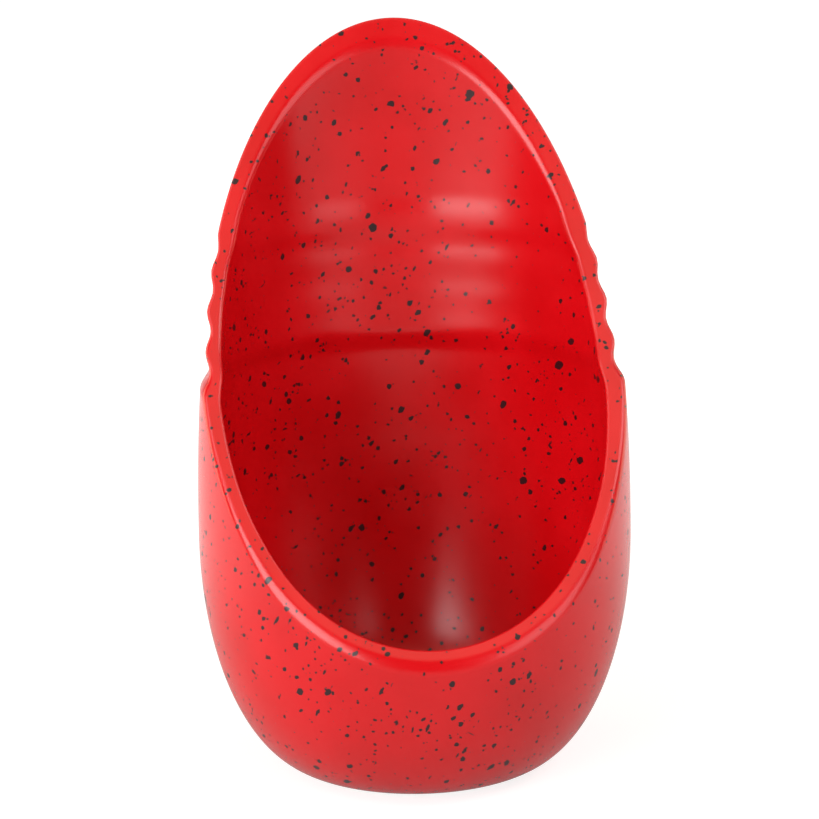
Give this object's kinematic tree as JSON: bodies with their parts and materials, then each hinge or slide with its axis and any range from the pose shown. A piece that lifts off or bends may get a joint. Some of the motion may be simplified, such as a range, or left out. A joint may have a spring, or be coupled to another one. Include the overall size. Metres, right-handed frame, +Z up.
{
  "type": "utensil rest",
  "caption": "Upright egg-shaped ceramic utensil rest: a round bowl with an open front, a sloping rim and a tall ribbed back.",
  "frame": {"origin": "on the ground under the centre of the turned body, in the plane of the foot", "axes": "+Z up along the axis the body is turned about, -Y towards the open front, +X to the right as seen from the front"},
  "size_m": [0.102, 0.1005, 0.1733],
  "materials": {
    "red_speckled_glaze": "satin red glaze with black iron speckles, inside and out; the foot ring is bare clay"
  },
  "bodies": {
    "root": {"holder_body": "red_speckled_glaze"}
  },
  "joints": []
}
